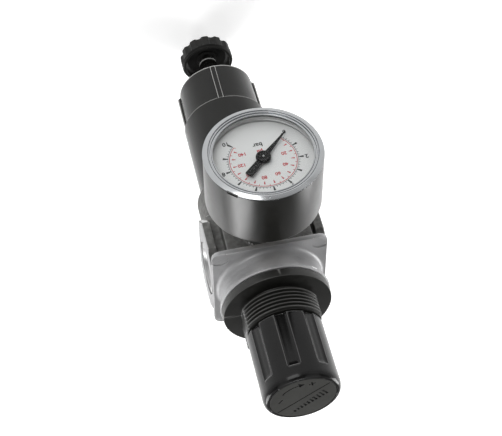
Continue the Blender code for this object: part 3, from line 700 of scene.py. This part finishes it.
def make_gauge_ring():
    """The snap-in ring, with its stepped face, two punch marks and a notch for lifting it off."""
    profile = fillet([(17.0, 58.85), (17.0, 59.2, 0.08), (17.35, 59.32, 0.08), (17.5, 58.95),
                      (17.85, 58.95), (18.0, 59.42, 0.08), (18.35, 59.5, 0.1), (18.5, 59.2),
                      (18.62, 59.2), (18.75, 59.62, 0.08), (19.05, 59.7, 0.1), (20.4, 59.05, 0.15),
                      (20.5, 58.95, 0.05), (20.5, 58.9), (19.45, 58.9), (19.45, 58.0), (19.0, 58.0),
                      (19.0, 58.85)], 4)
    ring = lathe("ring_shell", profile, 192, CHROME, forward=True)
    dents = []
    for name, degrees in PUNCH_MARKS:
        a = math.radians(degrees)
        dent = lathe(f"dent_{name}", [(0, 0.5), (0.42, 0.5), (0.2, -0.3), (0, -0.34)], 16, CHROME)
        out = Vector((0.5 * math.cos(a), -1.0, 0.5 * math.sin(a))).normalized()
        spot = Vector((PUNCH_R * math.cos(a), -PUNCH_HEIGHT, PUNCH_R * math.sin(a))) * MM
        turn = out.to_track_quat("Z", "Y").to_matrix().to_4x4()
        dent.data.transform(Matrix.Translation(spot) @ turn)
        dents.append(dent)
    dents.append(notch_cutter("ring_notch", 58.5, 59.15))
    combine(ring, dents)
    tidy_shading(ring)
    place(ring, "housing", "chrome", "gauge_ring")


def make_gauge_glass():
    profile = fillet([(0, 58.75), (18.8, 58.75, 0.1), (18.8, 57.95, 0.1), (0, 57.95)], 3)
    place(lathe("lens_glass", profile, 128, LENS, forward=True), "housing", "clear", "gauge_lens")
    spacer = fillet([(17.5, 57.7, 0.1), (18.1, 57.7), (18.1, 55.3), (17.6, 55.3, 0.1), (17.6, 55.9),
                     (17.45, 56.0), (17.45, 56.3), (17.6, 56.4)], 3)
    place(lathe("dial_spacer", spacer, 144, SPACER, forward=True), "housing", "chrome")


def print_solid(name, outlines, material, high=PRINT_TOP):
    """Printed areas on the dial, each outline a very thin raised solid, as one mesh."""
    verts, faces = [], []
    for outline in outlines:
        first, count = len(verts), len(outline)
        verts += [(x, -DIAL_FACE, z) for x, z in outline]
        verts += [(x, -high, z) for x, z in outline]
        faces.append([first + k for k in range(count)])
        faces.append([first + count + k for k in reversed(range(count))])
        for k in range(count):
            m = (k + 1) % count
            faces.append([first + k, first + count + k, first + count + m, first + m])
    return make_mesh(name, verts, faces, material)


def scale_angle(share):
    """Where a share of the full scale lies, clockwise from straight up as seen from the front."""
    return math.radians(SCALE_START + SCALE_SWEEP * share)


def tick(share, inner, outer, width, taper=1.0):
    a = scale_angle(share)
    along, side = Vector((math.sin(a), math.cos(a))), Vector((math.cos(a), -math.sin(a)))
    corners = ((inner, -taper), (outer, -1.0), (outer, 1.0), (inner, taper))
    return [tuple(along * r + side * s * width / 2) for r, s in corners]


def arc_band(radius, width):
    """A thin band along the whole scale, in short closed pieces."""
    pieces = []
    inner, outer, count = radius - width / 2, radius + width / 2, 54
    for k in range(count):
        start, end = scale_angle(k / count), scale_angle((k + 1) / count)
        corners = ((start, inner), (start, outer), (end, outer), (end, inner))
        pieces.append([tuple(Vector((math.sin(a), math.cos(a))) * r) for a, r in corners])
    return pieces


def lettering(name, text, share, radius, size, material):
    """Figures lying on the dial, upright to the dial itself, which sits slightly turned."""
    curve = bpy.data.curves.new(name, "FONT")
    curve.body = text
    curve.size = size * MM
    curve.align_x = "CENTER"
    curve.align_y = "CENTER"
    curve.extrude = 0.015 * MM
    curve.resolution_u = 3
    curve.offset = 0.06 * MM
    obj = bpy.data.objects.new(name, curve)
    bpy.context.scene.collection.objects.link(obj)
    a = scale_angle(share)
    across, up = radius * math.sin(a) * MM, radius * math.cos(a) * MM
    where = Matrix.Translation((across, -FIGURE_MIDDLE * MM, up))
    upright = Matrix.Rotation(math.pi / 2, 4, "X")
    obj.matrix_world = where @ Matrix.Rotation(math.radians(-DIAL_TURN), 4, "Y") @ upright
    bpy.context.view_layer.update()
    evaluated = obj.evaluated_get(bpy.context.evaluated_depsgraph_get())
    mesh = bpy.data.meshes.new_from_object(evaluated)
    mesh.transform(obj.matrix_world)
    bpy.data.objects.remove(obj, do_unlink=True)
    mesh.materials.clear()
    mesh.materials.append(material)
    return mesh


def merge_meshes(obj, meshes):
    shape = bmesh.new()
    shape.from_mesh(obj.data)
    for mesh in meshes:
        shape.from_mesh(mesh)
    bmesh.ops.remove_doubles(shape, verts=shape.verts, dist=1e-8)
    shape.to_mesh(obj.data)
    shape.free()


def make_dial():
    profile = fillet([(1.0, DIAL_FACE), (17.35, DIAL_FACE), (17.45, 55.0, 0.1), (17.9, 55.0),
                      (17.9, 54.7), (1.0, 54.7)], 3)
    place(lathe("dial_plate", profile, 144, DIAL, forward=True), "housing", "dial_white",
          "gauge_dial")
    black, red = arc_band(OUTER_SCALE_R, 0.14), arc_band(INNER_SCALE_R, 0.22)
    for k in range(BAR_TICKS + 1):
        if k % 5 == 0:
            black.append(tick(k / BAR_TICKS, OUTER_SCALE_R, 13.7, 0.8, 0.45))
        else:
            black.append(tick(k / BAR_TICKS, OUTER_SCALE_R, 12.5, 0.16))
    for k in range(PSI_TICKS + 1):
        if k % 2 == 0:
            red.append(tick(k / PSI_TICKS, 9.3, 10.6, 0.6, 0.25))
        else:
            red.append(tick(k / PSI_TICKS, 10.7, INNER_SCALE_R, 0.18))
    black_print = print_solid("dial_black_print", black, INK_BLACK)
    red_print = print_solid("dial_red_print", red, INK_RED, high=RED_PRINT_TOP)
    figures = [
        lettering(f"figure_{bars}", str(bars), bars / BAR_FULL_SCALE, 14.7, 2.3, INK_BLACK)
        for bars in range(0, BAR_FULL_SCALE + 1, 2)
    ]
    figures.append(lettering("unit_outer", "bar", UNIT_SHARE, 7.1, 2.6, INK_BLACK))
    merge_meshes(black_print, figures)
    figures = [
        lettering(f"figure_psi_{psi}", str(psi), psi / PSI_FULL_SCALE, 7.6, 1.9, INK_RED)
        for psi in range(20, PSI_FULL_SCALE, 20)
    ]
    figures.append(lettering("unit_inner", "psi", UNIT_SHARE, 4.2, 1.9, INK_RED))
    merge_meshes(red_print, figures)
    place(black_print, "housing", "satin_black")
    place(red_print, "housing", "fibre")


def make_pointer():
    """The pointer at its stop, with a slim tip, a broad tail and a hub with a small steel pin."""
    outline = [(0.2, 13.9), (0.45, 9.0), (0.95, 2.4), (1.15, 0.0), (1.15, -3.0), (1.42, -8.9),
               (1.15, -9.3)]
    outline += [(-x, y) for x, y in reversed(outline)]
    turn = math.radians(POINTER_STOP)
    c, s = math.cos(turn), math.sin(turn)
    flat = [(x * c - y * s, x * s + y * c) for x, y in outline]
    needle = prism("pointer_needle", flat, 56.5, 56.85, NEEDLE_BLACK, axis="Y")
    hub = fillet([(0, 57.35), (1.6, 57.35, 0.2), (1.9, 57.6, 0.2), (2.3, 57.55, 0.2),
                  (2.6, 57.1, 0.3), (2.6, 56.35, 0.2), (0, 56.35)], 4)
    combine(needle, [lathe("hub_form", hub, 64, NEEDLE_BLACK, forward=True)], "UNION")
    tidy_shading(needle, 30)
    place(needle, "pointer_unit", "satin_black", "gauge_pointer")
    pin = fillet([(0, 57.65), (0.3, 57.6, 0.1), (0.38, 57.4, 0.1), (0.38, 57.2), (0, 57.2)], 4)
    place(lathe("pointer_pin", pin, 24, STEEL, forward=True), "pointer_unit", "brass")


def make_socket():
    profile = fillet([(0, 41.1), (5.6, 41.1), (5.6, 34.0), (6.2, 34.0), (6.2, 22.6, 0.3),
                      (4.8, 22.4), (4.8, 11.2), (4.2, 10.6), (0, 10.6)], 3)
    stem = lathe("socket_stem", profile, 64, DARK_BRASS, forward=True)
    nut = prism("hex_form", hexagon(7.0), 24.4, 35.4, DARK_BRASS, axis="Y")
    cone = fillet([(0, 24.4), (7.2, 24.4), (8.3, 25.1), (8.3, 34.7), (7.2, 35.4), (0, 35.4)], 2)
    combine(nut, [lathe("cone_form", cone, 64, DARK_BRASS, forward=True)], "INTERSECT")
    combine(stem, [nut], "UNION")
    combine(stem, [prism("channel", circle(1.0, 16), 8, 36, DARK_BRASS, axis="Y")])
    tidy_shading(stem, 25)
    place(stem, "housing", "brass", "gauge_socket")


def make_rear_plug():
    profile = fillet([(0, -10.6), (4.2, -10.6), (4.8, -11.2), (4.8, -22.2), (7.2, -22.2, 0.2),
                      (7.2, -25.1, 0.5), (3.6, -25.1), (3.0, -24.7), (0, -24.7)], 4)
    plug = lathe("plug_shell", profile, 96, STEEL, forward=True)
    key_hole = prism("plug_hex", hexagon(2.5), -27, -21.5, STEEL, axis="Y")
    combine(plug, [key_hole])
    tidy_shading(plug, 30)
    place(plug, "housing", "steel", "rear_plug")


# ---------------------------------------------------------------- bowl and drain


RIB_PHASE = math.radians(RIB_TURN - 90)


def make_bowl():
    half_pitch = math.pi / BOWL_RIBS

    def ribbed(x, y, z):
        r, a = math.hypot(x, y), math.atan2(y, x)
        if z > RIB_TOP or z < BOWL_EDGE or r < BOWL_WALL:
            return x, y, z
        off = abs((a - RIB_PHASE + half_pitch) % (2 * half_pitch) - half_pitch) * r
        rise = max(0.0, min(1.0, (RIB_HALF_WIDTH - off) / RIB_FLANK))
        rise = rise * rise * (3 - 2 * rise)
        end = max(0.0, min(1.0, (z - RIB_END) / RIB_RUNOUT))
        top = BOWL_END_R + RIB_RISE * math.sin(end * math.pi / 2)
        r2 = max(r, r + (top - r) * rise)
        return r2 * math.cos(a), r2 * math.sin(a), z

    outer = fillet([(16.1, -19.2), (16.1, -19.7), (16.1, -20.7), (16.1, -25), (16.1, -30),
                    (16.1, -31), (16.5, -33, 1.0), (16.5, -35.5), (16.5, -50), (16.5, -66.5),
                    (16.5, -67.3), (16.5, -67.9, 0.25), (15.3, -68.3, 0.3), (15.2, -69.2),
                    (15.18, -70.5), (15.15, -74.0)], 4)
    outer += [(15.1, -79.0), (15.0, -83.0), (14.95, -85.2), (14.94, -85.5), (14.93, -85.8),
              (14.92, -86.1), (14.9, -86.4), (14.82, -86.75), (14.62, -87.0), (14.35, -87.1),
              (14.0, -87.12)]
    outer += fillet([(13.6, -87.12), (10.6, -87.2, 0.8), (7.6, -89.0, 1.5), (5.6, -91.5, 1.5),
                     (4.3, -94.5, 1.5), (3.7, -98.5, 1.0), (3.66, -100.5), (3.62, -101.8),
                     (3.6, -102.4), (3.6, -102.8)], 4)
    inner = [(2.5, -102.8), (2.5, -85.0), (5.0, -84.0), (11.5, -82.0), (13.0, -78.0), (14.3, -60.0),
             (14.3, -19.2)]
    rib_angles = []
    edge = RIB_STEPS * RIB_STEP
    between = 360 / BOWL_RIBS - 2 * edge
    for index in range(BOWL_RIBS):
        middle = RIB_PHASE + math.tau / BOWL_RIBS * index
        rib_angles += [middle + math.radians(step * RIB_STEP)
                       for step in range(-RIB_STEPS, RIB_STEPS + 1)]
        rib_angles += [middle + math.radians(edge + between * k / GAP_STEPS)
                       for k in range(1, GAP_STEPS)]
    shell = lathe("bowl_shell", outer + inner, 0, BOWL_BLACK, reshape=ribbed, angles=rib_angles,
                  sharp=42)
    place(shell, "bowl_unit", "black_plastic", "bowl")


LOBE_PHASE = math.radians(-90)


def make_drain_knob():
    def lobed(x, y, z):
        r, a = math.hypot(x, y), math.atan2(y, x)
        if r < DRAIN_WALL:
            return x, y, z
        off = (a - LOBE_PHASE) % (math.tau / LOBES) - math.pi / LOBES
        dip = max(0.0, 1 - (off / math.radians(LOBE_HALF_ANGLE)) ** 2)
        fade = max(0.0, min(1.0, (LOBE_START - z) / LOBE_RUNOUT))
        r2 = r - LOBE_DEPTH * dip * fade
        return r2 * math.cos(a), r2 * math.sin(a), z

    profile = fillet([(1.2, -106.1), (3.0, -106.1), (3.4, -105.5), (4.2, -105.5), (4.6, -106.1),
                      (8.2, -106.1, 0.5), (9.1, -105.2, 0.4), (9.1, -102.7, 0.3),
                      (10.6, -102.7, 0.3)], 3)
    profile += [(10.6, -103.6), (10.6, -103.9), (10.6, -104.2), (10.6, -105.0), (10.6, -106.5)]
    profile += fillet([(10.6, -107.8), (10.5, -108.9, 0.8), (8.6, -108.9, 0.3), (8.2, -108.3, 0.3),
                       (3.0, -108.3, 0.3), (2.6, -108.9, 0.3), (1.2, -108.9, 0.3)], 4)
    steps = 20 * LOBES
    angles = [LOBE_PHASE + math.tau * k / steps for k in range(steps)]
    shell = lathe("drain_knob_shell", profile, 0, MATTE_BLACK, reshape=lobed, angles=angles,
                  sharp=40)
    place(shell, "drain_unit", "matte_black", "drain_knob")


# ---------------------------------------------------------------- CAD nodes that stay


KEPT = {
    "valve_seat": BRASS,
    "valve_guide": NATURAL,
    "swirl_deflector": NATURAL,
    "filter_element": FILTER,
    "baffle_plate": NATURAL,
    "gauge_seal": FIBRE,
    "movement_plate": BRASS,
    "bourdon_tube": BRASS,
    "plug_seal": RUBBER,
    "regulating_spring": STEEL,
    "valve_spring": STEEL,
    "adjusting_spindle": BRASS,
    "spindle_ring": STEEL,
    "spring_nut": BRASS,
    "piston": NATURAL,
    "piston_seal": RUBBER,
    "relief_seat": RUBBER,
    "valve_poppet": BRASS,
    "valve_seal": RUBBER,
    "bowl_seal": RUBBER,
    "drain_seal": RUBBER,
    "drain_stem": MATTE_BLACK,
    "pointer_arbor": BRASS,
    "sector_gear": BRASS,
}


def dress_kept_nodes():
    for name, material in KEPT.items():
        node = NODES[name]
        if node.material_slots:
            for slot in node.material_slots:
                slot.material = material
        else:
            node.data.materials.append(material)


# ---------------------------------------------------------------- studio


def make_studio():
    top = CAD_LOW.z / MM - FLOOR_DROP
    half = FLOOR_HALF
    corners = [(-half, -half), (half, -half), (half, half), (-half, half)]
    floor = prism("floor", corners, top - FLOOR_THICKNESS, top)
    material = surface(
        "floor_white", (0.90, 0.90, 0.90), (0.93, 0.93, 0.93), (0.6, 0.7), mottle=3, grain=60,
        bump=0.02,
    )
    shader = material.node_tree.nodes["Principled BSDF"]
    shader.inputs["Emission Color"].default_value = (1.0, 1.0, 1.0, 1.0)
    shader.inputs["Emission Strength"].default_value = FLOOR_GLOW
    floor.data.materials.append(material)
    bpy.context.scene.world = make_world()
    for name, at, aim, size, power, spread in LIGHTS:
        light = bpy.data.lights.new(name, "AREA")
        light.size = size
        light.spread = math.radians(spread)
        light.energy = power
        lamp = bpy.data.objects.new(name, light)
        bpy.context.scene.collection.objects.link(lamp)
        lamp.location = at
        lamp.rotation_euler = (Vector(aim) - Vector(at)).to_track_quat("-Z", "Y").to_euler()


def make_world():
    """A pale room: bright at the horizon, dimmer overhead."""
    world = bpy.data.worlds.new("studio")
    world.use_nodes = True
    tree = world.node_tree
    direction = tree.nodes.new("ShaderNodeTexCoord").outputs["Generated"]
    split = tree.nodes.new("ShaderNodeSeparateXYZ")
    tree.links.new(direction, split.inputs["Vector"])
    height = to_range(tree, split.outputs["Z"], low=0.85, high=0.18, from_low=0.06, from_high=0.42)
    tree.links.new(height, tree.nodes["Background"].inputs["Strength"])
    tree.nodes["Background"].inputs["Color"].default_value = (1.0, 1.0, 1.0, 1.0)
    return world


def make_camera():
    """The photographer's viewpoint, with the unit lying upside down in the picture."""
    right = Vector((-0.97572, 0.00668, 0.21891))
    up = Vector((-0.17625, -0.61729, -0.76674))
    back = Vector((0.13000, -0.78671, 0.60348))
    turn = Matrix((right, up, back)).transposed().to_4x4()
    data = bpy.data.cameras.new("camera")
    data.sensor_width = 36.0
    data.lens = CAMERA_LENS
    data.clip_start = 0.01
    camera = bpy.data.objects.new("camera", data)
    bpy.context.scene.collection.objects.link(camera)
    camera.matrix_world = Matrix.Translation(CAMERA_PLACE) @ turn
    bpy.context.scene.camera = camera


make_camera()
make_body()
make_bonnet()
make_knob()
make_gauge_case()
make_gauge_ring()
make_gauge_glass()
make_dial()
make_pointer()
make_socket()
make_rear_plug()
make_bowl()
make_drain_knob()
dress_kept_nodes()
make_studio()
bpy.context.scene.view_settings.view_transform = "Standard"
